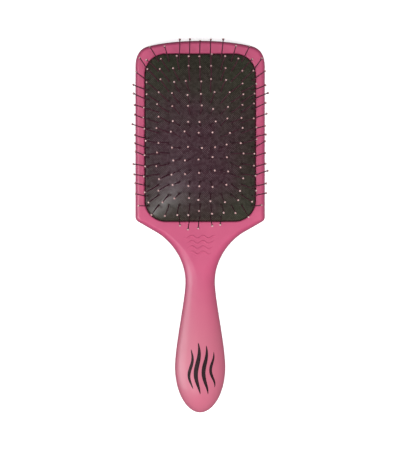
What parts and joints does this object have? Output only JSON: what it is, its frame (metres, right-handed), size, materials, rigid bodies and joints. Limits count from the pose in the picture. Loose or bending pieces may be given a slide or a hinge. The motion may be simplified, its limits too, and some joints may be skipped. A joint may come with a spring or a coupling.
{
  "type": "paddle brush",
  "caption": "Square-headed paddle hairbrush with a domed rubber cushion of ball-tipped pins and a waisted oval handle.",
  "frame": {"origin": "below the middle of the brush's length and width, on the surface that its back lies on", "axes": "+Z the way the pins point, +Y from the handle's end to the head's top edge, +X across"},
  "size_m": [0.0923, 0.2555, 0.0392],
  "materials": {
    "shell_front": "soft satin",
    "shell_back": "soft satin",
    "clamp_plastic": "matte",
    "cushion_rubber": "satin",
    "pin_nylon": "gloss",
    "ball_tip_resin": "gloss",
    "print_ink": "satin"
  },
  "bodies": {
    "handle_and_head": {"front_shell": "shell_front", "back_shell": "shell_back", "clamp_frame": "clamp_plastic", "cushion_pad": "cushion_rubber"},
    "pin_field": {"pins_01_lower": "pin_nylon", "pins_01_middle": "pin_nylon", "pins_01_upper": "pin_nylon", "pins_02_lower": "pin_nylon", "pins_02_middle": "pin_nylon", "pins_02_upper": "pin_nylon", "pins_03_lower": "pin_nylon", "pins_03_middle": "pin_nylon", "pins_03_upper": "pin_nylon", "pins_04_lower": "pin_nylon", "pins_04_middle": "pin_nylon", "pins_04_upper": "pin_nylon", "pins_05_lower": "pin_nylon", "pins_05_middle": "pin_nylon", "pins_05_upper": "pin_nylon", "pins_06_lower": "pin_nylon", "pins_06_middle": "pin_nylon", "pins_06_upper": "pin_nylon", "pins_07_lower": "pin_nylon", "pins_07_middle": "pin_nylon", "pins_07_upper": "pin_nylon", "pins_08_lower": "pin_nylon", "pins_08_middle": "pin_nylon", "pins_08_upper": "pin_nylon", "pins_09_lower": "pin_nylon", "pins_09_middle": "pin_nylon", "pins_09_upper": "pin_nylon", "pins_10_lower": "pin_nylon", "pins_10_middle": "pin_nylon", "pins_10_upper": "pin_nylon", "pins_11_lower": "pin_nylon", "pins_11_middle": "pin_nylon", "pins_11_upper": "pin_nylon"}
  },
  "joints": [
    {"name": "cushion_press", "type": "slide", "parent": "handle_and_head", "child": "pin_field", "axis": [0, 0, 1], "range_m": [-0.003, 0], "stiffness_N_per_m": 1500, "deforming": ["cushion_pad"]}
  ]
}
